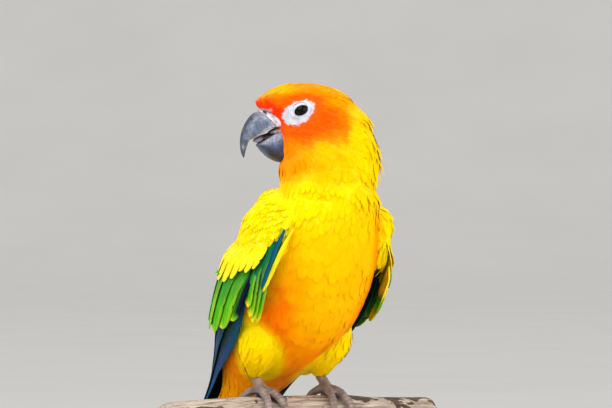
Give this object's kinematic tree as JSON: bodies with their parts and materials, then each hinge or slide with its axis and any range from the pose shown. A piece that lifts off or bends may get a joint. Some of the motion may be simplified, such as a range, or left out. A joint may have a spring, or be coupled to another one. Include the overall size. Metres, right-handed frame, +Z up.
{
  "type": "perched sun conure",
  "caption": "Life-size still sun conure, yellow and orange with green and blue wings, its head turned aside, gripping a short cut branch held on a plain display stand.",
  "frame": {"origin": "middle of the stand base's underside", "axes": "+Z up; -Y is the way the bird's body faces; +X is the bird's left"},
  "size_m": [0.132, 0.168, 0.2509],
  "materials": {
    "yellow_plumage": "soft feather",
    "orange_plumage": "soft feather",
    "wing_plumage": "sleek feather, green with yellow edges and dark blue flight feathers",
    "tail_plumage": "sleek feather, olive green tipped with blue",
    "bill_horn": "satin slate-grey horn",
    "cere_skin": "matt bare skin",
    "tongue_skin": "moist skin",
    "eye_gloss": "wet gloss",
    "foot_skin": "scaly matt skin",
    "weathered_wood": "weathered and dry",
    "base_wood": "dark satin varnish",
    "rod_metal": "brushed"
  },
  "bodies": {
    "root": {"torso": "orange_plumage", "neck": "yellow_plumage", "head": "orange_plumage", "thigh_left": "yellow_plumage", "thigh_right": "yellow_plumage", "wing_left": "wing_plumage", "wing_right": "wing_plumage", "tail": "tail_plumage", "bill_upper": "bill_horn", "bill_lower": "bill_horn", "cere": "cere_skin", "tongue": "tongue_skin", "eye_left": "eye_gloss", "eye_right": "eye_gloss", "foot_left": "foot_skin", "foot_right": "foot_skin", "claw_inner_front_left": "bill_horn", "claw_inner_front_right": "bill_horn", "claw_outer_front_left": "bill_horn", "claw_outer_front_right": "bill_horn", "claw_inner_back_left": "bill_horn", "claw_inner_back_right": "bill_horn", "claw_outer_back_left": "bill_horn", "claw_outer_back_right": "bill_horn", "perch": "weathered_wood", "stand_base": "base_wood", "stand_rod_left": "rod_metal", "stand_rod_right": "rod_metal"}
  },
  "joints": []
}
